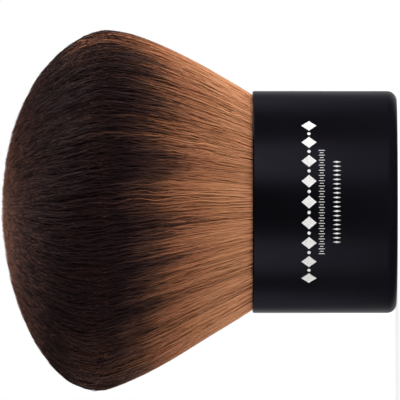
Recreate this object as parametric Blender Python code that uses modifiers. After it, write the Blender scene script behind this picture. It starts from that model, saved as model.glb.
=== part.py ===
"""Kabuki make-up brush: a short domed bundle of fibres glued into a low cylindrical aluminium handle.

Metres, +Z up along the brush. The origin is the centre of the flat base that the brush stands on.
From the outside in: handle shell, core plug with its bond ring, inner ferrule, epoxy plug, root band
and the bristle knot, whose fibres are gathered into tapering locks that are rooted in a glued block.
"""

import math
import random

import bmesh
import bpy
from mathutils import Vector

# Handle shell: a deep-drawn aluminium cup
HANDLE_DIAMETER = 0.0370
HANDLE_HEIGHT = 0.0240
SHELL_WALL = 0.0008
SHELL_FLOOR = 0.0010
BASE_EDGE_RADIUS = 0.0016
FLOOR_EDGE_RADIUS = 0.0005
MOUTH_EDGE_RADIUS = 0.0003

# Film of glue, or the free play, between one piece and the next
GLUE_LINE = 0.0003

# Core plug: a moulded puck that fills the handle's lower half, up to the ferrule
PLUG_CHAMFER = 0.0006
SOCKET_DEPTH = 0.0032

# Bond ring: the bead of adhesive in the groove round the core plug
BOND_RING_HEIGHT = 0.0022
BOND_GROOVE_DEPTH = 0.0014
BOND_EDGE_RADIUS = 0.0003

# Inner ferrule: a thin drawn cup with a pouring hole in its bottom
FERRULE_WALL = 0.0004
FERRULE_SETBACK = 0.0010
FERRULE_BEND_RADIUS = 0.0006

# Epoxy plug: poured over the roots, and down through the hole into the core plug
EPOXY_DEPTH = 0.0020
EPOXY_KEY_RADIUS = 0.0060

# Root band: the elastic band round the roots
BAND_HEIGHT = 0.0030
BAND_GROOVE_DEPTH = 0.0012
BAND_EDGE_RADIUS = 0.0003

# Bristle knot: the glued root block, and the head that flares out of it into a dome
ROOT_SETBACK = 0.0010
ROOT_HEIGHT = 0.0088
HEAD_HEIGHT = 0.0420
HEAD_WIDTH = 0.0616
DOME_HEIGHT = 0.0188
FLARE_WIDTH = 0.0634
HEAD_LEAN = 0.0019
LEAN_HEIGHT = 0.0320
RIM_OVERLAP_HEIGHT = 0.0010
LOCK_RINGS = 10
LOCKS_PER_RING_STEP = 6
LOCK_GAP = 0.00032
LOCK_TIP_LENGTH = 0.0019
LOCK_EMBED = 0.0008
TIP_SCATTER = 0.0006
LENGTH_SCATTER = 0.0005
SCATTER_SEED = 7

# Shapes of the head, as powers and shares of its sizes
DOME_POWER = 2.16
LEAN_POWER = 1.6
FLARE_BOW_SHARE = 0.18
RIM_OVERLAP_RINGS = 2
OUTER_FACE_SHARE = 0.5

# How finely round pieces are turned, and how closely a tip is set on the dome
TURN_STEPS = 64
SHELL_ARC_STEPS = 4
INNER_ARC_STEPS = 2
HALVINGS = 40
MERGE_DISTANCE = 0.000001
SHARP_ANGLE = math.radians(35)
FLAT_ANGLE = math.radians(0.1)

# Places that follow from the sizes above
SHELL_RADIUS = HANDLE_DIAMETER / 2
SHELL_INNER_RADIUS = SHELL_RADIUS - SHELL_WALL
FERRULE_RADIUS = SHELL_INNER_RADIUS - GLUE_LINE
FERRULE_INNER_RADIUS = FERRULE_RADIUS - FERRULE_WALL
FERRULE_TOP = HANDLE_HEIGHT - FERRULE_SETBACK
ROOT_RADIUS = FERRULE_INNER_RADIUS - GLUE_LINE
ROOT_TOP = HANDLE_HEIGHT - ROOT_SETBACK
ROOT_BOTTOM = ROOT_TOP - ROOT_HEIGHT
BAND_BOTTOM = (ROOT_BOTTOM + ROOT_TOP - BAND_HEIGHT) / 2
BAND_TOP = BAND_BOTTOM + BAND_HEIGHT
EPOXY_TOP = ROOT_BOTTOM - GLUE_LINE
EPOXY_BOTTOM = EPOXY_TOP - EPOXY_DEPTH
FERRULE_BOTTOM = EPOXY_BOTTOM - GLUE_LINE - FERRULE_WALL
PLUG_RADIUS = SHELL_INNER_RADIUS - GLUE_LINE
PLUG_TOP = FERRULE_BOTTOM - GLUE_LINE
PLUG_BOTTOM = SHELL_FLOOR + GLUE_LINE
SOCKET_RADIUS = EPOXY_KEY_RADIUS + GLUE_LINE
BOND_RING_BOTTOM = (PLUG_BOTTOM + PLUG_TOP - BOND_RING_HEIGHT) / 2
BOND_RING_TOP = BOND_RING_BOTTOM + BOND_RING_HEIGHT
HEAD_RADIUS = HEAD_WIDTH / 2
WIDEST_LEVEL = HEAD_HEIGHT - DOME_HEIGHT


def empty_scene():
    """Removes what the file starts with."""
    for obj in list(bpy.data.objects):
        bpy.data.objects.remove(obj)


def collection(name):
    made = bpy.data.collections.new(name)
    bpy.context.scene.collection.children.link(made)
    return made


def linear(hex_colour):
    """An sRGB hex colour as the linear numbers that a shader takes."""
    channels = [int(hex_colour[i : i + 2], 16) / 255 for i in (1, 3, 5)]
    return [c / 12.92 if c <= 0.04045 else ((c + 0.055) / 1.055) ** 2.4 for c in channels] + [1.0]


def material(name, hex_colour, roughness, metallic=0.0):
    made = bpy.data.materials.new(name)
    made.use_nodes = True
    shader = made.node_tree.nodes["Principled BSDF"]
    shader.inputs["Base Color"].default_value = linear(hex_colour)
    shader.inputs["Roughness"].default_value = roughness
    shader.inputs["Metallic"].default_value = metallic
    made.diffuse_color = linear(hex_colour)
    return made


def settle(obj):
    """Replaces the object's data with its evaluated mesh, so that it needs no modifiers."""
    graph = bpy.context.evaluated_depsgraph_get()
    mesh = bpy.data.meshes.new_from_object(obj.evaluated_get(graph))
    obj.modifiers.clear()
    obj.data = mesh
    mesh.name = obj.name


def tidy_faces(obj):
    """Joins faces that lie in one plane, and shades the rest smooth up to the sharp angle."""
    shape = bmesh.new()
    shape.from_mesh(obj.data)
    bmesh.ops.remove_doubles(shape, verts=shape.verts, dist=MERGE_DISTANCE)
    bmesh.ops.dissolve_limit(
        shape, angle_limit=FLAT_ANGLE, verts=shape.verts, edges=shape.edges, delimit=set()
    )
    shape.to_mesh(obj.data)
    shape.free()
    obj.data.shade_smooth()
    obj.data.set_sharp_from_angle(angle=SHARP_ANGLE)


def arc(centre_r, centre_z, radius, start, end, steps=INNER_ARC_STEPS):
    """Points of a round edge on a profile, from one angle to another, in degrees from +X."""
    points = []
    for step in range(steps + 1):
        angle = math.radians(start + (end - start) * step / steps)
        points.append((centre_r + radius * math.cos(angle), centre_z + radius * math.sin(angle)))
    return points


def turned(name, profile, parts, closed=False):
    """Turns a profile of (radius, height) points round the Z axis. It runs down the outer side."""
    mesh = bpy.data.meshes.new(name)
    edges = [(i, i + 1) for i in range(len(profile) - 1)]
    if closed:
        edges.append((len(profile) - 1, 0))
    mesh.from_pydata([(r, 0, z) for r, z in profile], edges, [])
    obj = bpy.data.objects.new(name, mesh)
    parts.objects.link(obj)
    screw = obj.modifiers.new("Turn", "SCREW")
    screw.steps = TURN_STEPS
    screw.render_steps = TURN_STEPS
    screw.use_merge_vertices = True
    screw.merge_threshold = MERGE_DISTANCE
    settle(obj)
    tidy_faces(obj)
    return obj


def ring_profile(inner, outer, bottom, top, edge):
    """A ring's section with rounded corners, running down its outer side."""
    return (
        arc(inner + edge, top - edge, edge, 180, 90)
        + arc(outer - edge, top - edge, edge, 90, 0)
        + arc(outer - edge, bottom + edge, edge, 0, -90)
        + arc(inner + edge, bottom + edge, edge, -90, -180)
    )


def build_handle_shell(parts):
    """The cup: inner floor, inner wall, rounded mouth, outer wall, rounded base edge and flat base."""
    corner = SHELL_INNER_RADIUS - FLOOR_EDGE_RADIUS
    mouth_level = HANDLE_HEIGHT - MOUTH_EDGE_RADIUS
    outer_corner = SHELL_RADIUS - BASE_EDGE_RADIUS
    profile = [(0, SHELL_FLOOR)]
    profile += arc(corner, SHELL_FLOOR + FLOOR_EDGE_RADIUS, FLOOR_EDGE_RADIUS, -90, 0)
    profile += arc(SHELL_INNER_RADIUS + MOUTH_EDGE_RADIUS, mouth_level, MOUTH_EDGE_RADIUS, 180, 90)
    profile += arc(SHELL_RADIUS - MOUTH_EDGE_RADIUS, mouth_level, MOUTH_EDGE_RADIUS, 90, 0)
    profile += arc(outer_corner, BASE_EDGE_RADIUS, BASE_EDGE_RADIUS, 0, -90, SHELL_ARC_STEPS)
    profile.append((0, 0))
    shell = turned("handle_shell", profile, parts)
    shell.data.materials.append(material("black_anodised_aluminium", "#17171b", 0.38, 0.6))


def build_core_plug(parts):
    """A solid puck with a socket for the epoxy's key, and a groove round its side for the bond ring."""
    socket_floor = PLUG_TOP - SOCKET_DEPTH
    groove_radius = PLUG_RADIUS - BOND_GROOVE_DEPTH
    profile = [
        (0, socket_floor),
        (SOCKET_RADIUS, socket_floor),
        (SOCKET_RADIUS, PLUG_TOP),
        (PLUG_RADIUS - PLUG_CHAMFER, PLUG_TOP),
        (PLUG_RADIUS, PLUG_TOP - PLUG_CHAMFER),
        (PLUG_RADIUS, BOND_RING_TOP + GLUE_LINE),
        (groove_radius, BOND_RING_TOP + GLUE_LINE),
        (groove_radius, BOND_RING_BOTTOM - GLUE_LINE),
        (PLUG_RADIUS, BOND_RING_BOTTOM - GLUE_LINE),
        (PLUG_RADIUS, PLUG_BOTTOM + PLUG_CHAMFER),
        (PLUG_RADIUS - PLUG_CHAMFER, PLUG_BOTTOM),
        (0, PLUG_BOTTOM),
    ]
    plug = turned("core_plug", profile, parts)
    plug.data.materials.append(material("black_abs", "#2a2a2c", 0.55))


def build_bond_ring(parts):
    """The adhesive bead, which fills the groove of the core plug up to the shell."""
    inner = PLUG_RADIUS - BOND_GROOVE_DEPTH + GLUE_LINE
    profile = ring_profile(inner, PLUG_RADIUS, BOND_RING_BOTTOM, BOND_RING_TOP, BOND_EDGE_RADIUS)
    ring = turned("bond_ring", profile, parts, closed=True)
    ring.data.materials.append(material("hot_melt_adhesive", "#d8c9a0", 0.45))


def build_inner_ferrule(parts):
    """A cup whose wall grips the knot, with the pouring hole in its bottom."""
    outer_bend = FERRULE_BEND_RADIUS + FERRULE_WALL
    bend_level = FERRULE_BOTTOM + outer_bend
    profile = [
        (SOCKET_RADIUS, FERRULE_BOTTOM),
        (SOCKET_RADIUS, FERRULE_BOTTOM + FERRULE_WALL),
    ]
    profile += arc(FERRULE_RADIUS - outer_bend, bend_level, FERRULE_BEND_RADIUS, -90, 0)
    profile += [(FERRULE_INNER_RADIUS, FERRULE_TOP), (FERRULE_RADIUS, FERRULE_TOP)]
    profile += arc(FERRULE_RADIUS - outer_bend, bend_level, outer_bend, 0, -90)
    ferrule = turned("inner_ferrule", profile, parts, closed=True)
    ferrule.data.materials.append(material("bare_aluminium", "#c9cacc", 0.3, 1.0))


def build_epoxy_plug(parts):
    """A disc of cured epoxy on the ferrule's bottom, with a key down through the pouring hole."""
    corner = FERRULE_BEND_RADIUS + GLUE_LINE
    radius = FERRULE_INNER_RADIUS - GLUE_LINE
    key_bottom = PLUG_TOP - SOCKET_DEPTH + GLUE_LINE
    profile = [(0, EPOXY_TOP), (radius, EPOXY_TOP)]
    profile += arc(radius - corner, EPOXY_BOTTOM + corner, corner, 0, -90)
    profile += [
        (EPOXY_KEY_RADIUS, EPOXY_BOTTOM),
        (EPOXY_KEY_RADIUS, key_bottom),
        (0, key_bottom),
    ]
    plug = turned("epoxy_plug", profile, parts)
    plug.data.materials.append(material("cured_epoxy", "#c2a25a", 0.25))


def build_root_band(parts):
    """A flat elastic ring in the groove of the root block."""
    inner = ROOT_RADIUS - BAND_GROOVE_DEPTH + GLUE_LINE
    profile = ring_profile(inner, ROOT_RADIUS, BAND_BOTTOM, BAND_TOP, BAND_EDGE_RADIUS)
    band = turned("root_band", profile, parts, closed=True)
    band.data.materials.append(material("natural_rubber", "#8a6a48", 0.7))


def flare_radius(height):
    """Radius that the outermost fibres would reach at a height above the mouth, if no dome ended them.

    They leave the root block inside the ferrule, fold out over the mouth and then spread in a slight bow.
    """
    rim = SHELL_RADIUS
    spread = FLARE_WIDTH / 2 - rim
    share = (height - RIM_OVERLAP_HEIGHT) / (WIDEST_LEVEL - RIM_OVERLAP_HEIGHT)
    if share < 0:
        drop = (RIM_OVERLAP_HEIGHT - height) / (RIM_OVERLAP_HEIGHT + ROOT_SETBACK)
        return rim + (ROOT_RADIUS - rim) * drop
    return rim + spread * share * (1 + FLARE_BOW_SHARE * (1 - share))


def dome_radius(height):
    """Radius of the head's outline at a height above the mouth."""
    share = max(0, height - WIDEST_LEVEL) / DOME_HEIGHT
    return HEAD_RADIUS * max(0, 1 - share**DOME_POWER) ** (1 / DOME_POWER)


def tip_height(reach):
    """Height above the mouth where a fibre at this share of the flare meets the dome, by halving."""
    low, high = 0, HEAD_HEIGHT
    for _ in range(HALVINGS):
        middle = (low + high) / 2
        if reach * flare_radius(middle) < dome_radius(middle):
            low = middle
        else:
            high = middle
    return low


def lean(height):
    """How far the head's middle stands off to -X at a height above the mouth."""
    return HEAD_LEAN * min(1, max(0, height) / LEAN_HEIGHT) ** LEAN_POWER


def lock_section(ring, count, angle, level):
    """The four corners of a lock at one level: its share of the ring, less half the gap on each side.

    The level is a height above the mouth, given as a function of how far out a corner lies in the flare.
    The corners go round as seen from above. Neighbours keep the gap between them, so no two locks cross.
    """
    corners = []
    for side, turn_side in ((-1, -1), (1, -1), (1, 1), (-1, 1)):
        if ring == 0:
            reach = OUTER_FACE_SHARE / (LOCK_RINGS + OUTER_FACE_SHARE)
            radius = reach * flare_radius(level(reach)) - LOCK_GAP / 2
            turn = math.atan2(turn_side, side)
        else:
            reach = (ring + side * OUTER_FACE_SHARE) / (LOCK_RINGS + OUTER_FACE_SHARE)
            radius = reach * flare_radius(level(reach)) - side * LOCK_GAP / 2
            turn = turn_side * (math.pi / count - math.asin(LOCK_GAP / 2 / radius))
        height = level(reach)
        corners.append(
            Vector(
                (
                    radius * math.cos(angle + turn) - lean(height),
                    radius * math.sin(angle + turn),
                    HANDLE_HEIGHT + height,
                )
            )
        )
    return corners


def add_lock(shape, ring, count, angle, scatter):
    """One tapering lock of fibres: root in the block, shoulder under the dome, and a point on it."""
    cut_back = scatter.uniform(0, LENGTH_SCATTER)
    levels = [
        lambda reach: -ROOT_SETBACK - LOCK_EMBED,
        lambda reach: tip_height(reach) - LOCK_TIP_LENGTH - cut_back,
    ]
    if ring > LOCK_RINGS - RIM_OVERLAP_RINGS:
        levels.insert(1, lambda reach: RIM_OVERLAP_HEIGHT)
    sections = [
        [shape.verts.new(place) for place in lock_section(ring, count, angle, level)]
        for level in levels
    ]
    shape.faces.new(reversed(sections[0]))
    for below, above in zip(sections, sections[1:]):
        for corner in range(4):
            other = (corner + 1) % 4
            shape.faces.new((below[corner], below[other], above[other], above[corner]))
    reach = ring / (LOCK_RINGS + OUTER_FACE_SHARE)
    height = tip_height(reach) - cut_back
    radius = reach * flare_radius(height)
    tip = shape.verts.new(
        (
            radius * math.cos(angle) - lean(height) + scatter.uniform(-TIP_SCATTER, TIP_SCATTER),
            radius * math.sin(angle) + scatter.uniform(-TIP_SCATTER, TIP_SCATTER),
            HANDLE_HEIGHT + height,
        )
    )
    for corner in range(4):
        shape.faces.new((sections[-1][corner], sections[-1][(corner + 1) % 4], tip))


def build_bristle_knot(parts, helpers):
    """The root block with its band groove, and locks of fibres in rings that flare into the dome."""
    groove_radius = ROOT_RADIUS - BAND_GROOVE_DEPTH
    profile = [
        (0, ROOT_TOP),
        (ROOT_RADIUS, ROOT_TOP),
        (ROOT_RADIUS, BAND_TOP + GLUE_LINE),
        (groove_radius, BAND_TOP + GLUE_LINE),
        (groove_radius, BAND_BOTTOM - GLUE_LINE),
        (ROOT_RADIUS, BAND_BOTTOM - GLUE_LINE),
        (ROOT_RADIUS, ROOT_BOTTOM),
        (0, ROOT_BOTTOM),
    ]
    knot = turned("bristle_knot", profile, parts)
    scatter = random.Random(SCATTER_SEED)
    shape = bmesh.new()
    for ring in range(LOCK_RINGS + 1):
        count = max(1, LOCKS_PER_RING_STEP * ring)
        phase = scatter.uniform(0, math.tau)
        for index in range(count):
            add_lock(shape, ring, count, phase + math.tau * index / count, scatter)
    mesh = bpy.data.meshes.new("fibre_locks")
    shape.to_mesh(mesh)
    shape.free()
    locks = bpy.data.objects.new("fibre_locks", mesh)
    helpers.objects.link(locks)
    locks.hide_render = True
    locks.display_type = "WIRE"
    union = knot.modifiers.new("Root the locks", "BOOLEAN")
    union.operation = "UNION"
    union.object = locks
    settle(knot)
    tidy_faces(knot)
    knot.data.materials.clear()
    knot.data.materials.append(material("two_tone_fibre", "#5a382a", 0.6))


empty_scene()
brush = collection("kabuki_brush")
guides = collection("cutters_and_guides")
build_handle_shell(brush)
build_core_plug(brush)
build_bond_ring(brush)
build_inner_ferrule(brush)
build_epoxy_plug(brush)
build_root_band(brush)
build_bristle_knot(brush, guides)
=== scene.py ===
import math

import bmesh
import bpy
import numpy as np
from mathutils import Matrix, Vector, kdtree


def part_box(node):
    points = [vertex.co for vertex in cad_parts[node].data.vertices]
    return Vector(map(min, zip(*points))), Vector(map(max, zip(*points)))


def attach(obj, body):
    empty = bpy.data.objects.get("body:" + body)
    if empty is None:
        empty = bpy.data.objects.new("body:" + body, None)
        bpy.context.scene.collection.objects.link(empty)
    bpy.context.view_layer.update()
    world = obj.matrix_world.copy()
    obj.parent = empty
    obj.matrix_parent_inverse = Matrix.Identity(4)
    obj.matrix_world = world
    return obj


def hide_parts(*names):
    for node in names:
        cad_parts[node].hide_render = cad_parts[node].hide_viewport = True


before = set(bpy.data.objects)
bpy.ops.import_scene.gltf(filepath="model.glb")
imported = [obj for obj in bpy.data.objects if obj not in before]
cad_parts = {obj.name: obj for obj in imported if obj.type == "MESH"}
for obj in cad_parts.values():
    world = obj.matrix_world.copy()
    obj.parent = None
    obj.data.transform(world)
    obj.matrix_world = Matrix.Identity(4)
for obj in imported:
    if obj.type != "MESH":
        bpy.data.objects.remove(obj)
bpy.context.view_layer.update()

# The view. The brush is seen square from its side through a long lens, in a picture turned on its
# side: the camera looks along +Y, +X is up in the picture, and the fibres point left.
VIEW_MIDDLE = Vector((0.00033, 0.0, 0.03275))
VIEW_WIDTH = 0.06667
VIEW_DISTANCE = 2.4
SENSOR_WIDTH = 36
NEAREST_SEEN = 0.05
FARTHEST_SEEN = 20

scene = bpy.context.scene
camera = bpy.data.objects.new("camera", bpy.data.cameras.new("camera"))
camera.data.sensor_width = SENSOR_WIDTH
camera.data.lens = SENSOR_WIDTH * VIEW_DISTANCE / VIEW_WIDTH
camera.data.clip_start = NEAREST_SEEN
camera.data.clip_end = FARTHEST_SEEN
camera.matrix_world = Matrix((
    (0, 1, 0, VIEW_MIDDLE.x),
    (0, 0, -1, -VIEW_DISTANCE),
    (-1, 0, 0, VIEW_MIDDLE.z),
    (0, 0, 0, 1),
))
scene.collection.objects.link(camera)
scene.camera = camera


# Handle cup. A low cup of black anodised aluminium, deep drawn from 1 mm sheet to a wall of 0.8 mm,
# with smoothly rolled edges. The core plug is bonded into it. It stands in for the plainer shell,
# size for size.
def linear(hex_colour):
    """An sRGB hex colour as the linear colour that a shader takes."""
    channels = [int(hex_colour[i:i + 2], 16) / 255 for i in (1, 3, 5)]
    return [c / 12.92 if c <= 0.04045 else ((c + 0.055) / 1.055) ** 2.4 for c in channels] + [1.0]


def add(tree, kind, inputs=None, stops=None, **settings):
    """Adds a node with its settings. An input given as a node's output is linked, others are set."""
    made = tree.nodes.new("ShaderNode" + kind)
    for name, value in settings.items():
        setattr(made, name, value)
    for name, value in (inputs or {}).items():
        if isinstance(value, bpy.types.NodeSocket):
            tree.links.new(value, made.inputs[name])
        else:
            made.inputs[name].default_value = value
    for number, (place, hex_colour) in enumerate(stops or []):
        ramp = made.color_ramp.elements
        stop = ramp[number] if number < 2 else ramp.new(place)
        stop.position = place
        stop.color = linear(hex_colour)
    return made


def new_material(name, **sockets):
    """A material with its Principled shader's own sockets set. Gives it, its tree and the shader."""
    made = bpy.data.materials.new(name)
    made.use_nodes = True
    shader = made.node_tree.nodes["Principled BSDF"]
    for socket, value in sockets.items():
        shader.inputs[socket.replace("_", " ")].default_value = value
    return made, made.node_tree, shader


def new_piece(name, mesh, material):
    """A piece of the dressed part, in the scene and with its material."""
    made = bpy.data.objects.new(name, mesh)
    scene.collection.objects.link(made)
    mesh.materials.append(material)
    return made


def arc(radius, level, edge, start, end, steps=10):
    """Points of a rounded edge round a middle at this radius and level, with angles in degrees."""
    angles = [math.radians(start + (end - start) * step / steps) for step in range(steps + 1)]
    return [(radius + edge * math.cos(a), level + edge * math.sin(a)) for a in angles]


# Anodised aluminium, satin: the black dye lets little of the metal's shine through, and more of it
# towards the edges. The etched skin spreads each reflection into a wide soft band. The etch is about
# 0.05 mm in grain, drawn at 0.25 mm so that it shows.
ETCH_GRAIN = 0.00025
ETCH_DEPTH = 0.00002
CLOUD_SIZE = 0.006
SMOOTHEST = 0.31
ROUGHEST = 0.37
EDGE_SHINE = linear("#c0c0c2")
anodised, tree, shader = new_material(
    "black_anodised_aluminium_satin", Metallic=1.0, Specular_Tint=EDGE_SHINE)
place = add(tree, "TexCoord").outputs["Object"]
cloud = add(tree, "TexNoise", {
    "Vector": place, "Scale": 1 / CLOUD_SIZE, "Detail": 3.0,
}).outputs["Fac"]
etch = add(tree, "TexNoise", {
    "Vector": place, "Scale": 1 / ETCH_GRAIN, "Detail": 2.0,
}).outputs["Fac"]
colour = add(tree, "ValToRGB", {"Fac": cloud}, stops=[
    (0.3, "#111014"), (0.7, "#131217"),
]).outputs["Color"]
rough = add(tree, "MapRange", {
    "Value": cloud, "To Min": SMOOTHEST, "To Max": ROUGHEST,
}).outputs["Result"]
bump = add(tree, "Bump", {
    "Height": etch, "Strength": 0.06, "Distance": ETCH_DEPTH,
}).outputs["Normal"]
tree.links.new(colour, shader.inputs["Base Color"])
tree.links.new(rough, shader.inputs["Roughness"])
tree.links.new(bump, shader.inputs["Normal"])

HANDLE_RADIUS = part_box("handle_shell")[1].x
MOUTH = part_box("handle_shell")[1].z
WALL = 0.0008
FLOOR_THICKNESS = 0.0010
BASE_EDGE = 0.0016
MOUTH_EDGE = 0.0003
CUP_SIDES = 256
SAME_POINT = 0.000001
bore = HANDLE_RADIUS - WALL
profile = [(0, FLOOR_THICKNESS), (bore - MOUTH_EDGE, FLOOR_THICKNESS)]
profile += arc(bore - MOUTH_EDGE, FLOOR_THICKNESS + MOUTH_EDGE, MOUTH_EDGE, -90, 0)
profile += arc(bore + MOUTH_EDGE, MOUTH - MOUTH_EDGE, MOUTH_EDGE, 180, 90)
profile += arc(HANDLE_RADIUS - MOUTH_EDGE, MOUTH - MOUTH_EDGE, MOUTH_EDGE, 90, 0)
profile += arc(HANDLE_RADIUS - BASE_EDGE, BASE_EDGE, BASE_EDGE, 0, -90) + [(0, 0)]
shape = bmesh.new()
points = [shape.verts.new((radius, 0, level)) for radius, level in profile]
lines = [shape.edges.new(pair) for pair in zip(points, points[1:])]
bmesh.ops.spin(
    shape, geom=points + lines, axis=(0, 0, 1), angle=math.tau, steps=CUP_SIDES, use_merge=True)
bmesh.ops.remove_doubles(shape, verts=shape.verts, dist=SAME_POINT)
bmesh.ops.recalc_face_normals(shape, faces=shape.faces)
mesh = bpy.data.meshes.new("handle_cup")
shape.to_mesh(mesh)
shape.free()
mesh.shade_smooth()
cup = new_piece("handle_cup", mesh, anodised)
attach(cup, "root")
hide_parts("handle_shell")


# Printed ornament. Screen-printed ink, baked onto the anodised side: a row of lozenges with dots
# between them, a row of fine strokes and a row of slim lozenges. The marks follow the round of the
# handle and stand a hair proud of it.
INK_HEIGHT = 0.00004
INK_SINK = 0.00003
MAIN_LEVEL = 0.0147
MAIN_HALF_ANGLE = math.radians(43)
MAIN_LOZENGES = 9
LOZENGE_HALF_WIDTH = 0.00105
LOZENGE_HALF_HEIGHT = 0.00125
DOT_RADIUS = 0.00028
STROKE_LEVEL = 0.0126
STROKE_HALF_ANGLE = math.radians(27.5)
STROKES = 41
STROKE_HALF_WIDTH = 0.00005
LONG_STROKE_HALF = 0.0005
SHORT_STROKE_HALF = 0.0003
SLIM_LEVEL = 0.0101
SLIM_HALF_ANGLE = math.radians(21)
SLIM_LOZENGES = 19
SLIM_HALF_WIDTH = 0.00016
SLIM_HALF_HEIGHT = 0.00068


def flat(half_height):
    """The outline of a stroke."""
    return lambda share: half_height


def pointed(half_height):
    """The outline of a lozenge."""
    return lambda share: half_height * (1 - abs(share))


def rounded(half_height):
    """The outline of a dot."""
    return lambda share: half_height * math.sqrt(1 - share * share)


def printed_row(shape, marks, half_angle, level, half_width, outlines, columns=8):
    """Evenly spaced marks on the handle's side, as thin as ink, with these outlines in turn. An
    outline gives a mark's half height at each share of its half width."""
    for mark in range(marks):
        middle = (2 * mark / (marks - 1) - 1) * half_angle
        outline = outlines[mark % len(outlines)]
        rings = []
        for column in range(columns + 1):
            share = 2 * column / columns - 1
            turn = middle + share * half_width / HANDLE_RADIUS
            rise = max(outline(share), INK_HEIGHT)
            ring = []
            for proud, up in (
                (-INK_SINK, -rise), (INK_HEIGHT, -rise), (INK_HEIGHT, rise), (-INK_SINK, rise),
            ):
                radius = HANDLE_RADIUS + proud
                ring.append(shape.verts.new((
                    radius * math.sin(turn), -radius * math.cos(turn), level + up)))
            rings.append(ring)
        shape.faces.new(rings[0])
        shape.faces.new(reversed(rings[-1]))
        for left, right in zip(rings, rings[1:]):
            for corner in range(4):
                other = (corner + 1) % 4
                shape.faces.new((left[corner], right[corner], right[other], left[other]))


lozenge = pointed(LOZENGE_HALF_HEIGHT)
dot = rounded(DOT_RADIUS)
slim = pointed(SLIM_HALF_HEIGHT)
strokes = [flat(LONG_STROKE_HALF), flat(SHORT_STROKE_HALF)]
between = MAIN_HALF_ANGLE * (1 - 1 / (MAIN_LOZENGES - 1))
shape = bmesh.new()
printed_row(
    shape, MAIN_LOZENGES, MAIN_HALF_ANGLE, MAIN_LEVEL, LOZENGE_HALF_WIDTH, [lozenge])
printed_row(
    shape, MAIN_LOZENGES - 1, between, MAIN_LEVEL, DOT_RADIUS, [dot])
printed_row(
    shape, STROKES, STROKE_HALF_ANGLE, STROKE_LEVEL, STROKE_HALF_WIDTH, strokes, columns=1)
printed_row(
    shape, SLIM_LOZENGES, SLIM_HALF_ANGLE, SLIM_LEVEL, SLIM_HALF_WIDTH, [slim])
mesh = bpy.data.meshes.new("printed_ornament")
shape.to_mesh(mesh)
shape.free()

# Screen ink: matt and slightly uneven, because the screen's mesh leaves more ink in some places than
# others. Its threads are about 0.1 mm apart, drawn at 0.2 mm so that they show.
SCREEN_MESH = 0.0002
ink, tree, shader = new_material("screen_printed_ink_matt", Roughness=0.6, Specular_IOR_Level=0.3)
place = add(tree, "TexCoord").outputs["Object"]
grain = add(tree, "TexNoise", {
    "Vector": place, "Scale": 1 / SCREEN_MESH, "Detail": 2.0,
}).outputs["Fac"]
colour = add(tree, "ValToRGB", {"Fac": grain}, stops=[
    (0.3, "#c9c8c6"), (0.6, "#e6e5e3"),
]).outputs["Color"]
tree.links.new(colour, shader.inputs["Base Color"])
ornament = new_piece("printed_ornament", mesh, ink)
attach(ornament, "root")


# Core plug. An ABS puck that fills the lower half of the handle, over a bead of adhesive, and carries
# the ferrule. It was moulded against a spark-eroded tool, so its faces are evenly dull. The sparks'
# pits are about 0.1 mm across, drawn at 0.3 mm so that they show.
def finish_node(node, material):
    """Gives a CAD node its material."""
    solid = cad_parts[node]
    solid.data.materials.clear()
    solid.data.materials.append(material)


SPARK_GRAIN = 0.0003
SPARK_DEPTH = 0.00003
abs_plastic, tree, shader = new_material("black_abs_moulded", Roughness=0.55)
place = add(tree, "TexCoord").outputs["Object"]
grain = add(tree, "TexNoise", {
    "Vector": place, "Scale": 1 / SPARK_GRAIN, "Detail": 3.0,
}).outputs["Fac"]
colour = add(tree, "ValToRGB", {"Fac": grain}, stops=[
    (0.3, "#242426"), (0.7, "#2e2e31"),
]).outputs["Color"]
bump = add(tree, "Bump", {
    "Height": grain, "Strength": 0.3, "Distance": SPARK_DEPTH,
}).outputs["Normal"]
tree.links.new(colour, shader.inputs["Base Color"])
tree.links.new(bump, shader.inputs["Normal"])
finish_node("core_plug", abs_plastic)


# Bond ring. A bead of hot-melt adhesive, laid in the groove of the plug, that sets against the
# shell. It is straw-coloured, and slightly lumpy where the nozzle slowed.
BEAD_LUMP = 0.0018
LUMP_HEIGHT = 0.0002
adhesive, tree, shader = new_material("hot_melt_adhesive_set", Roughness=0.42, IOR=1.48)
place = add(tree, "TexCoord").outputs["Object"]
lump = add(tree, "TexNoise", {
    "Vector": place, "Scale": 1 / BEAD_LUMP, "Detail": 2.0,
}).outputs["Fac"]
colour = add(tree, "ValToRGB", {"Fac": lump}, stops=[
    (0.3, "#c9b88a"), (0.7, "#e0d3ae"),
]).outputs["Color"]
bump = add(tree, "Bump", {
    "Height": lump, "Strength": 0.4, "Distance": LUMP_HEIGHT,
}).outputs["Normal"]
tree.links.new(colour, shader.inputs["Base Color"])
tree.links.new(bump, shader.inputs["Normal"])
finish_node("bond_ring", adhesive)


# Inner ferrule. A thin cup of bare aluminium, which grips the glued roots of the fibres and has a
# hole in its bottom for the epoxy. The die it was drawn through leaves fine lines along its wall,
# about 0.05 mm apart and drawn at 0.15 mm so that they show.
DRAW_LINE = 0.00015
LINE_STRETCH = 0.03
bare_metal, tree, shader = new_material("aluminium_drawn_bare", Metallic=1.0)
place = add(tree, "TexCoord").outputs["Object"]
drawn = add(tree, "Mapping", {
    "Vector": place, "Scale": (1.0, 1.0, LINE_STRETCH),
}).outputs["Vector"]
line = add(tree, "TexNoise", {
    "Vector": drawn, "Scale": 1 / DRAW_LINE, "Detail": 2.0,
}).outputs["Fac"]
colour = add(tree, "ValToRGB", {"Fac": line}, stops=[
    (0.3, "#bfc0c2"), (0.7, "#d4d5d6"),
]).outputs["Color"]
rough = add(tree, "MapRange", {"Value": line, "To Min": 0.24, "To Max": 0.38}).outputs["Result"]
tree.links.new(colour, shader.inputs["Base Color"])
tree.links.new(rough, shader.inputs["Roughness"])
finish_node("inner_ferrule", bare_metal)


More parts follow.
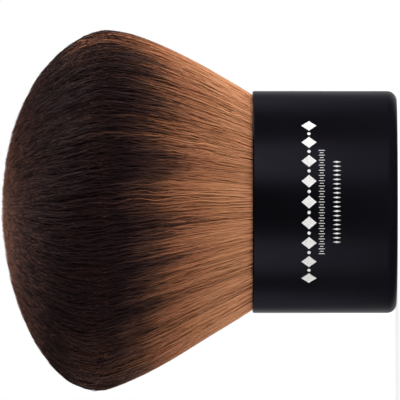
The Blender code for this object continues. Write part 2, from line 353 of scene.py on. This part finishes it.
# Epoxy plug. Two-part epoxy poured onto the roots through the ferrule's hole, where it sets as a
# disc with a key below it. It is cast and amber, and glossy where it met the metal.
CAST_CLOUD = 0.003
epoxy, tree, shader = new_material("epoxy_cast_amber", Roughness=0.2, IOR=1.55)
place = add(tree, "TexCoord").outputs["Object"]
cloud = add(tree, "TexNoise", {
    "Vector": place, "Scale": 1 / CAST_CLOUD, "Detail": 3.0,
}).outputs["Fac"]
colour = add(tree, "ValToRGB", {"Fac": cloud}, stops=[
    (0.3, "#b08f4b"), (0.7, "#cfb270"),
]).outputs["Color"]
tree.links.new(colour, shader.inputs["Base Color"])
finish_node("epoxy_plug", epoxy)


# Root band. A flat ring of natural rubber that holds the bundle together while it is glued. It is
# dull, and specked with the talc that keeps such bands from sticking.
TALC_SPECK = 0.0006
rubber, tree, shader = new_material("natural_rubber_talced", Roughness=0.75, IOR=1.52)
place = add(tree, "TexCoord").outputs["Object"]
talc = add(tree, "TexNoise", {
    "Vector": place, "Scale": 1 / TALC_SPECK, "Detail": 4.0,
}).outputs["Fac"]
colour = add(tree, "ValToRGB", {"Fac": talc}, stops=[
    (0.4, "#876745"), (0.75, "#ab9478"),
]).outputs["Color"]
tree.links.new(colour, shader.inputs["Base Color"])
finish_node("root_band", rubber)


# Bristle knot. Some thirty thousand crimped synthetic fibres, dark brown with copper brown roots.
# The bundle is cupped into a dome, tied and glued at its roots, and pressed into the ferrule, from
# which it flares over the mouth and leans a little to one side.
MM = 0.001
WIDEST_HEIGHT = 23.9 * MM
DOME_RADIUS = 30.0 * MM
DOME_HEIGHT = 17.8 * MM
DOME_POWER = 2.02
DOME_INWARD = 0.6

# The flare opens fastest at the mouth. Over the widest level it opens as slowly as just below it.
RIM_RADIUS = 17.9 * MM
FLARE_SPREAD = 12.0 * MM
FLARE_CURVE = 0.2
FLARE_POWER = 3
FLARE_ABOVE = 0.4

# How far the bundle's middle stands off to -X, by the height above the mouth.
LEAN_HEIGHTS = np.array((0, 3, 8, 14, 20, 25, 30, 33, 38, 42)) * MM
LEANS = np.array((0.05, 0.1, 0.15, 0.5, 0.85, 1.4, 1.9, 1.9, 1.5, 0.95)) * MM

# Half width of the bundle near the mouth: it is held inside the wall and then folds out over it.
FOLD_HEIGHTS = np.array((-2.0, -1.0, -0.3, 0.1, 0.4, 0.75)) * MM
FOLD_RADII = np.array((16.5, 16.8, 17.3, 17.65, 18.0, 18.35)) * MM


def flare(height):
    """Half width of the bundle at a height above the mouth. Over the widest level the fibres bend
    inwards."""
    share = np.clip(height / WIDEST_HEIGHT, 0, 1)
    above = np.maximum(height - WIDEST_HEIGHT, 0)
    opening = share * (1 + FLARE_CURVE - FLARE_CURVE * share**FLARE_POWER)
    opening = opening + FLARE_ABOVE * above / WIDEST_HEIGHT
    bend = 1 - DOME_INWARD * (above / DOME_HEIGHT) ** 2
    open_part = (RIM_RADIUS + FLARE_SPREAD * opening) * bend
    folded = np.interp(height, FOLD_HEIGHTS, FOLD_RADII)
    return np.where(height < FOLD_HEIGHTS[-1], folded, open_part)


def dome(height):
    """Half width of the dome at a height above the mouth."""
    share = np.clip((height - WIDEST_HEIGHT) / DOME_HEIGHT, 0, 1)
    return DOME_RADIUS * (1 - share**DOME_POWER) ** (1 / DOME_POWER)


def tip_height(reach, rounds=30):
    """Height above the mouth at which a fibre at this share of the flare meets the dome."""
    low = np.zeros_like(reach)
    high = np.full_like(reach, WIDEST_HEIGHT + DOME_HEIGHT)
    for _ in range(rounds):
        middle = (low + high) / 2
        inside = reach * flare(middle) < dome(middle)
        low = np.where(inside, middle, low)
        high = np.where(inside, high, middle)
    return low


def lean(height):
    """How far the bundle's middle stands off to -X at a height above the mouth."""
    return np.interp(height, LEAN_HEIGHTS, LEANS)


def sunflower(count, scatter, chance):
    """Evenly spread places on a disc of radius 1, each moved by a share of their spacing."""
    index = np.arange(count)
    reach = np.sqrt((index + 0.5) / count)
    angle = index * math.pi * (3 - math.sqrt(5))
    places = np.stack((reach * np.cos(angle), reach * np.sin(angle)), axis=1)
    places += chance.normal(0, scatter * math.sqrt(math.pi / count), places.shape)
    size = np.linalg.norm(places, axis=1, keepdims=True)
    return places / np.maximum(size, 1)


def nearest(places, middles):
    """For each place, the index of the nearest of the middles."""
    tree = kdtree.KDTree(len(middles))
    for index, (x, y) in enumerate(middles):
        tree.insert((x, y, 0), index)
    tree.balance()
    return np.array([tree.find((x, y, 0))[1] for x, y in places])


# Where each fibre stands. Places are shares of the bundle's half width. The skin is a thin layer of
# more fibres round the others.
INNER_FIBRES = 27000
SKIN_FIBRES = 4500
SKIN_REACH = 0.93
WISPS = 3600
TUFTS = 420
ROOT_SCATTER = 0.35
MIDDLE_SCATTER = 0.3
chance = np.random.default_rng(11)
skin_turns = chance.uniform(0, math.tau, SKIN_FIBRES)
skin_reach = np.sqrt(chance.uniform(SKIN_REACH**2, 1, SKIN_FIBRES))
skin = np.stack((skin_reach * np.cos(skin_turns), skin_reach * np.sin(skin_turns)), axis=1)
roots = np.concatenate((sunflower(INNER_FIBRES, ROOT_SCATTER, chance), skin))
FIBRES = len(roots)
wisp_middles = sunflower(WISPS, MIDDLE_SCATTER, chance)
tuft_middles = sunflower(TUFTS, MIDDLE_SCATTER, chance)
wisp = nearest(roots, wisp_middles)
tuft = nearest(roots, tuft_middles)

# A fibre's tip is drawn to the middle of its wisp of some nine fibres and of its tuft of some
# seventy-five, and one in fifty strays further than the rest.
WISP_PULL = (0.1, 0.45)
TUFT_PULL = (0.05, 0.2)
STRAY = 0.25 * MM / DOME_RADIUS
WILD_SHARE = 0.02
WILD_STRAY = 3
FIBRE_SLANT = 0.45 * MM / DOME_RADIUS
WISP_SLANT = 0.15 * MM / DOME_RADIUS
gathered = (wisp_middles[wisp] - roots) * chance.uniform(*WISP_PULL, (FIBRES, 1))
gathered += (tuft_middles[tuft] - roots) * chance.uniform(*TUFT_PULL, (FIBRES, 1))
stray = chance.normal(0, STRAY, (FIBRES, 2))
stray[chance.random(FIBRES) < WILD_SHARE] *= WILD_STRAY
gathered += stray
slant = chance.normal(0, FIBRE_SLANT, (FIBRES, 2))
slant += chance.normal(0, WISP_SLANT, (WISPS, 2))[wisp]

# The cut follows the dome. The longest fibres stand a little proud of it, and the others end short
# by the wisp, the tuft and the fibre.
TIPS_PROUD = 0.35 * MM
WISP_SHORT = 0.25 * MM
TUFT_SHORT = 0.15 * MM
FIBRE_SHORT = 0.35 * MM
tip = tip_height(np.minimum(np.linalg.norm(roots + gathered, axis=1), 1)) + TIPS_PROUD
tip -= chance.exponential(WISP_SHORT, WISPS)[wisp]
tip -= chance.exponential(TUFT_SHORT, TUFTS)[tuft]
tip -= chance.exponential(FIBRE_SHORT, FIBRES)

# Each fibre's own tone, turn about its length and crimp, in mm.
TONE_RANGE = 0.98
WISP_TONE = 0.6
CRIMP_SIZES = (0.1, 0.34)
CRIMP_LENGTHS = (5, 11)
CRIMP_RATIO = 1.3
tone = WISP_TONE * chance.random(WISPS)[wisp] + (1 - WISP_TONE) * chance.random(FIBRES)
tone *= TONE_RANGE
turn = chance.uniform(0, math.tau, FIBRES)
crimp = chance.uniform(*CRIMP_SIZES, FIBRES) * MM / DOME_RADIUS
crimp_length = chance.uniform(*CRIMP_LENGTHS, FIBRES) * MM

# How far the copper reaches up past its usual level. The bundle took the dye unevenly: by the side
# of the head, in mm by the degrees about its length, and by the tuft, the wisp and the fibre. That
# last spread is made larger towards the upper side in the picture, and the lighter streaks it adds to
# the dark part there are painted sheen.
DIP_TURNS = (-165, -156, -142, -132, -123, -115, -107, -99, -92, -85, -77,
             -70, -62, -53, -44, -32, -24, 0, 35, 70, 110, 150)
DIP_SHIFTS = (3.2, 3.6, 2.2, 0.9, -1.8, -1.6, -2.0, -1.2, -0.8, 0.6, -1.2,
              -1.6, 1.9, -0.3, -1.8, 1.8, 4.6, 4.2, 0.8, -0.6, 1.2, 0.0)
TUFT_DIP = 0.8 * MM
WISP_DIP = 0.75 * MM
FIBRE_DIP = 0.5 * MM
SHEEN_SIDE_TURN = -30
SHEEN_SIDE_SPREAD = 0.8
around = np.degrees(np.arctan2(roots[:, 1], roots[:, 0]))
side_dip = np.interp(around, DIP_TURNS, DIP_SHIFTS, period=360)
side_dip = side_dip * np.linalg.norm(roots, axis=1) * MM
own_dip_and_sheen = chance.normal(0, TUFT_DIP, TUFTS)[tuft]
own_dip_and_sheen += chance.normal(0, WISP_DIP, WISPS)[wisp]
own_dip_and_sheen += chance.normal(0, FIBRE_DIP, FIBRES)
# Painted sheen: the spread grows towards the upper side, which lightens the dark part there.
own_dip_and_sheen *= 1 + SHEEN_SIDE_SPREAD * np.clip(np.cos(np.radians(around - SHEEN_SIDE_TURN)), 0, 1)

# Depths below the tip: how far the map runs, where the tip ends, and over what length a gathered tip
# comes back to its fibre's own place. Then the taper.
MAP_LENGTH = 45 * MM
TIP_LENGTH = 1 * MM
GATHER_LENGTH = 7 * MM
TAPER_DEPTHS = np.array((0, 0.8, 2.5, 6, 12, 24)) * MM
TAPER_RADII = np.array((0.012, 0.034, 0.055, 0.068, 0.078, 0.092)) * MM


def fibre_middles(chosen, depth, height):
    """The middle of each ring of the chosen fibres."""
    gather = np.exp(-depth / GATHER_LENGTH)[..., None]
    phase = depth * math.tau / crimp_length[chosen][:, None] + turn[chosen][:, None]
    wave = np.stack((np.sin(phase), np.cos(CRIMP_RATIO * phase)), axis=-1)
    wave = crimp[chosen][:, None, None] * wave
    plan = roots[chosen][:, None, :] + gather * gathered[chosen][:, None, :]
    plan = plan + (1 - gather) * slant[chosen][:, None, :] + wave
    plan = plan / np.maximum(np.linalg.norm(plan, axis=-1, keepdims=True), 1)
    wide = flare(height)
    x = plan[..., 0] * wide - lean(height)
    y = plan[..., 1] * wide
    return np.stack((x, y, MOUTH + height), axis=-1)


# The dye's shifts are longest over the widest level, settle over the shoulder below it, and grow
# from nothing just under each tip. Over the widest level a ring counts as no more than TOP_DEPTH
# deep, so the whole dome is dark.
SHOULDER_SHIFT = 1.8
SHOULDER_LENGTH = 5 * MM
STEADY_TIP = 0.5 * MM
SHIFT_LENGTH = 4 * MM
TOP_DEPTH = 3 * MM
LEAST_DEPTH = 0.015
DEPTH_CREEP = 0.01
AFTER_TIP = 0.99 * TIP_LENGTH


def dye_depth(chosen, depth, height):
    """How far each ring is into the dyed length, as if it lay so far below a tip. The bundle was
    dipped whole, so the dark dye ends at a level rather than at a length of fibre."""
    below = np.maximum(WIDEST_HEIGHT - height, 0)
    settled = np.clip(below / SHOULDER_LENGTH, 0, 1)
    over_shoulder = SHOULDER_SHIFT - (SHOULDER_SHIFT - 1) * settled
    shift = side_dip[chosen][:, None] * over_shoulder + own_dip_and_sheen[chosen][:, None]
    shift = shift * np.clip((depth - STEADY_TIP + below) / SHIFT_LENGTH, 0, 1)
    level = np.minimum(depth, below + TOP_DEPTH)
    dyed = np.maximum(level + shift, LEAST_DEPTH * depth) + DEPTH_CREEP * depth
    # Over the first TIP_LENGTH the map keeps the true depth, which places the painted light at the
    # tips.
    return np.where(depth < TIP_LENGTH, depth, np.maximum(dyed, AFTER_TIP))


ROD_SIDES = 3
SIDE_ON_MAP = 0.004


def fibre_mesh(name, chosen, depths):
    """Closed three-sided rods for the chosen fibres, tapering to the tips, with rings at these
    depths in mm below each tip. The map has the fibre's own tone across and its dyed length down."""
    count, levels = len(chosen), len(depths)
    depth = np.asarray(depths)[None, :] * MM
    height = np.maximum(tip[chosen][:, None] - depth, FOLD_HEIGHTS[0])
    radius = np.interp(depth, TAPER_DEPTHS, TAPER_RADII)[..., None, None]
    angle = turn[chosen][:, None] + np.arange(ROD_SIDES)[None, :] * math.tau / ROD_SIDES
    ring = np.stack((np.cos(angle), np.sin(angle), np.zeros_like(angle)), axis=-1)
    middles = fibre_middles(chosen, depth, height)
    points = middles[:, :, None, :] + radius * ring[:, None, :, :]

    first = (np.arange(count) * levels * ROD_SIDES)[:, None, None]
    level = first + (np.arange(levels - 1) * ROD_SIDES)[None, :, None]
    side = np.arange(ROD_SIDES)[None, None, :]
    after = (side + 1) % ROD_SIDES
    following = level + ROD_SIDES
    quads = np.stack((level + side, following + side, following + after, level + after), axis=-1)
    last = first + (levels - 1) * ROD_SIDES
    ends = np.concatenate((first + side, last + ROD_SIDES - 1 - side), axis=1)
    corners = np.concatenate((quads.ravel(), ends.ravel()))
    starts = np.concatenate((
        np.arange(0, quads.size, 4), quads.size + np.arange(0, ends.size, ROD_SIDES)))

    down = dye_depth(chosen, depth, height) / MAP_LENGTH
    own_tone = tone[chosen][:, None, None]
    upper, lower, left = np.broadcast_arrays(
        down[:, :-1, None], down[:, 1:, None], own_tone + side * SIDE_ON_MAP)
    across = np.stack((left, left, left + SIDE_ON_MAP, left + SIDE_ON_MAP), axis=-1)
    quad_map = np.stack((across, np.stack((upper, lower, lower, upper), axis=-1)), axis=-1)
    end_across, end_down = np.broadcast_arrays(own_tone, down[:, (0, -1), None] + 0 * side)
    end_map = np.stack((end_across, end_down), axis=-1)

    mesh = bpy.data.meshes.new(name)
    mesh.vertices.add(count * levels * ROD_SIDES)
    mesh.vertices.foreach_set("co", points.astype(np.float32).ravel())
    mesh.loops.add(len(corners))
    mesh.loops.foreach_set("vertex_index", corners.astype(np.int32))
    mesh.polygons.add(len(starts))
    mesh.polygons.foreach_set("loop_start", starts.astype(np.int32))
    mesh.polygons.foreach_set("use_smooth", starts < quads.size)
    uvs = mesh.uv_layers.new(name="OFBake")
    mesh.update(calc_edges=True)
    uv_places = np.concatenate((quad_map.ravel(), end_map.ravel()))
    uvs.data.foreach_set("uv", uv_places.astype(np.float32))
    return mesh


# Synthetic fibre, dip dyed: the last of each tip is painted a lighter brown, a painted light for the
# light that comes through the thin tips, then comes dark brown, and a streaky change over about 10 mm
# to copper brown. Each fibre took the dye a little differently, which gives the fine streaks. The
# sheen is soft and brown, as it comes from within.
TONES_ACROSS = 12.0
TONE_LENGTH = 9 * MM
fibre, tree, shader = new_material(
    "two_tone_fibre_dyed_and_painted_light", Roughness=0.55, Specular_IOR_Level=0.1,
    Specular_Tint=linear("#c98a68"))
where = add(tree, "UVMap", uv_map="OFBake").outputs["UV"]
down = add(tree, "SeparateXYZ", {"Vector": where}).outputs["Y"]
# The stops at the very tip, lighter brown, are painted light for the light coming through the thin
# tips.
colour = add(tree, "ValToRGB", {"Fac": down}, stops=[
    (0.0, "#8a5c48"), (0.58, "#cd9069"), (0.005, "#4a2f28"), (0.013, "#271b1d"),
    (0.08, "#1f161a"), (0.15, "#3e2a26"), (0.225, "#54382d"), (0.295, "#8a5940"),
    (0.37, "#a66d4e"), (0.47, "#b87f5a"),
]).outputs["Color"]
grid = add(tree, "Mapping", {
    "Vector": where, "Scale": (TONES_ACROSS, MAP_LENGTH / TONE_LENGTH, 1.0),
}).outputs["Vector"]
streak = add(tree, "TexNoise", {
    "Vector": grid, "Scale": 1.0, "Detail": 4.0, "Roughness": 0.65,
}, noise_dimensions="2D").outputs["Fac"]
light = add(tree, "MapRange", {
    "Value": streak, "From Min": 0.3, "From Max": 0.7, "To Min": 0.87, "To Max": 1.13,
}).outputs["Result"]
tinted = add(tree, "HueSaturation", {"Color": colour, "Value": light}).outputs["Color"]
tree.links.new(tinted, shader.inputs["Base Color"])

# Only the outer fibres are seen over their length, so the inner ones are drawn as their ends alone.
# The parts keep each mesh small enough to be used by itself.
OUTER_REACH = 0.92
OUTER_DEPTHS = (0, 0.6, 1.6, 3.2, 5.2, 7.4, 9.6, 11.8, 14, 16.2, 18.4, 20.8, 23.6, 27.5, 36)
INNER_DEPTHS = (0, 0.5, 1.3, 2.8, 5.5)
bristles = []
is_outer = np.linalg.norm(roots, axis=1) > OUTER_REACH
for layer, fibres, parts, depths in (
    ("outer", np.flatnonzero(is_outer), 5, OUTER_DEPTHS),
    ("inner", np.flatnonzero(~is_outer), 3, INNER_DEPTHS),
):
    for number, chosen in enumerate(np.array_split(fibres, parts)):
        name = f"{layer}_fibres_{number + 1}"
        bristles.append(new_piece(name, fibre_mesh(name, chosen, depths), fibre))

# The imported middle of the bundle, where the fibres lie too close to tell apart, down to the glued
# root block with the groove of its band. Its cover of loose fibres is thickest over the top.
SIDE_COVER = 2.0 * MM
TOP_COVER = 3.4 * MM
CORE_SIDES = 96
CORE_STEPS = 14
CORE_START = 0.5 * MM
ROOT_RADIUS = 16.7 * MM
ROOT_SINK = 1 * MM
GROOVE_RADIUS = 15.5 * MM
GROOVE_GAP = 0.3 * MM
ROOT_DYE = 0.96
LAST_DYE = 0.99
root_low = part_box("bristle_knot")[0].z
groove_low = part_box("root_band")[0].z - GROOVE_GAP
groove_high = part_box("root_band")[1].z + GROOVE_GAP
profile = [(0, root_low, ROOT_DYE), (ROOT_RADIUS, root_low, ROOT_DYE)]
profile += [(ROOT_RADIUS, groove_low, ROOT_DYE), (GROOVE_RADIUS, groove_low, ROOT_DYE)]
profile += [(GROOVE_RADIUS, groove_high, ROOT_DYE), (ROOT_RADIUS, groove_high, ROOT_DYE)]
profile += [(ROOT_RADIUS, MOUTH - ROOT_SINK, ROOT_DYE)]
core_reach = 1 - SIDE_COVER / DOME_RADIUS
for height in np.linspace(CORE_START, WIDEST_HEIGHT, CORE_STEPS):
    dye = (WIDEST_HEIGHT + TOP_COVER - height) / MAP_LENGTH
    profile.append((core_reach * float(flare(height)), MOUTH + height, dye))
widest = profile[-1][0]
for turned in np.linspace(0, math.pi / 2, CORE_STEPS)[1:]:
    height = WIDEST_HEIGHT + (DOME_HEIGHT - TOP_COVER) * math.sin(turned)
    radius = widest * math.cos(turned) if turned < math.pi / 2 else 0
    profile.append((radius, MOUTH + height, TOP_COVER / MAP_LENGTH))
shape = bmesh.new()
uv = shape.loops.layers.uv.new("OFBake")
rings = []
for radius, level, dye in profile:
    off = float(lean(level - MOUTH))
    angles = [math.tau * side / CORE_SIDES for side in range(CORE_SIDES if radius else 1)]
    ring = [
        shape.verts.new((radius * math.cos(a) - off, radius * math.sin(a), level))
        for a in angles
    ]
    rings.append((ring, dye))
for (low, low_dye), (high, high_dye) in zip(rings, rings[1:]):
    for side in range(CORE_SIDES):
        corners = [(low, side, low_dye), (low, side + 1, low_dye)]
        corners += [(high, side + 1, high_dye), (high, side, high_dye)]
        if len(low) == 1:
            del corners[1]
        if len(high) == 1:
            del corners[3]
        face = shape.faces.new([ring[at % len(ring)] for ring, at, _ in corners])
        face.smooth = True
        for loop, (_, at, dye) in zip(face.loops, corners):
            loop[uv].uv = (at / CORE_SIDES, min(dye, LAST_DYE))
mesh = bpy.data.meshes.new("packed_fibre_core")
shape.to_mesh(mesh)
shape.free()
bristles.append(new_piece("packed_fibre_core", mesh, fibre))
for piece in bristles:
    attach(piece, "root")
    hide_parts("bristle_knot")


# Table and backdrop. A plain white card that the brush stands on. It shows as white, and keeps a
# soft shadow round the brush: there its glow is thinner, and its own shading shows through.
FLOOR_HALF = 1.5
SHADOW_REACH = 0.1
GLOW_REACH = 0.5
GLOW_NEAR = 0.7
GLOW_STRENGTH = 1.08
shape = bmesh.new()
bmesh.ops.create_grid(shape, x_segments=1, y_segments=1, size=FLOOR_HALF)
mesh = bpy.data.meshes.new("floor")
shape.to_mesh(mesh)
shape.free()
card, tree, shader = new_material(
    "white_card_matt", Base_Color=linear("#f2f2f2"), Roughness=0.9)
rays = add(tree, "LightPath").outputs
seen = rays["Is Camera Ray"]
for ray in ("Is Glossy Ray", "Is Transmission Ray"):
    seen = add(tree, "Math", {0: seen, 1: rays[ray]}, operation="MAXIMUM").outputs["Value"]
place = add(tree, "TexCoord").outputs["Object"]
away = add(tree, "VectorMath", {0: place}, operation="LENGTH").outputs["Value"]
glow_share = add(tree, "MapRange", {
    "Value": away, "From Min": SHADOW_REACH, "From Max": GLOW_REACH,
    "To Min": GLOW_NEAR, "To Max": 1.0,
}).outputs["Result"]
glow_share = add(tree, "Math", {0: seen, 1: glow_share}, operation="MULTIPLY").outputs["Value"]
glow = add(tree, "Emission", {
    "Color": linear("#ffffff"), "Strength": GLOW_STRENGTH,
}).outputs["Emission"]
mixed = add(tree, "MixShader", {
    "Fac": glow_share, 1: shader.outputs["BSDF"], 2: glow,
}).outputs["Shader"]
tree.links.new(mixed, tree.nodes["Material Output"].inputs["Surface"])
floor = new_piece("floor", mesh, card)


# Light. Two tall soft boxes stand at either side of the camera, the upper one in the picture the
# brighter. Two narrower ones graze the handle's edges from behind, and a small one stands high
# towards the upper side.
BOX_DISTANCE = 0.7
for name, toward, width, length, power in (
    ("soft_box_upper", (0.68, -0.73, -0.1), 0.52, 0.7, 5.2),
    ("soft_box_lower", (-0.84, -0.54, 0.0), 0.48, 0.7, 3.6),
    ("soft_box_edge_lower", (-0.87, 0.5, 0.0), 0.34, 0.7, 1.9),
    ("soft_box_edge_upper", (0.85, 0.53, 0.0), 0.34, 0.7, 2.1),
    ("soft_box_overhead", (0.75, 0.2, 0.63), 0.24, 0.4, 6.0),
):
    lamp = bpy.data.lights.new(name, "AREA")
    lamp.shape = "RECTANGLE"
    lamp.size = width
    lamp.size_y = length
    lamp.energy = power
    soft_box = bpy.data.objects.new(name, lamp)
    away = Vector(toward).normalized()
    soft_box.location = VIEW_MIDDLE + away * BOX_DISTANCE
    soft_box.rotation_euler = away.to_track_quat("Z", "Y").to_euler()
    soft_box.visible_camera = False
    scene.collection.objects.link(soft_box)

# The room is dim round the camera, with a white backdrop behind the brush, and metal and glass show
# it so. The camera sees the white of the backdrop all round.
world = bpy.data.worlds.new("plain_studio")
world.use_nodes = True
scene.world = world
tree = world.node_tree
tree.nodes.clear()
rays = add(tree, "LightPath").outputs
seen = rays["Is Camera Ray"]
for ray in ("Is Glossy Ray", "Is Transmission Ray"):
    seen = add(tree, "Math", {0: seen, 1: rays[ray]}, operation="MAXIMUM").outputs["Value"]
toward = add(tree, "TexCoord").outputs["Generated"]
depth = add(tree, "SeparateXYZ", {"Vector": toward}).outputs["Y"]
depth = add(tree, "MapRange", {
    "Value": depth, "From Min": -1.0, "From Max": 1.0,
}).outputs["Result"]
walls = add(tree, "ValToRGB", {"Fac": depth}, stops=[
    (0.0, "#484848"), (0.97, "#ffffff"), (0.2, "#a4a4a4"), (0.9, "#8c8c8c"),
]).outputs["Color"]
backdrop = add(tree, "Mix", {
    "Factor": rays["Is Camera Ray"], "A": walls, "B": linear("#ffffff"),
}, data_type="RGBA").outputs["Result"]
room = add(tree, "Background", {"Color": walls, "Strength": 1.0}).outputs["Background"]
white = add(tree, "Background", {"Color": backdrop, "Strength": 1.0}).outputs["Background"]
mixed = add(tree, "MixShader", {"Fac": seen, 1: room, 2: white}).outputs["Shader"]
add(tree, "OutputWorld", {"Surface": mixed})

scene.view_settings.view_transform = "Standard"

bpy.context.view_layer.update()
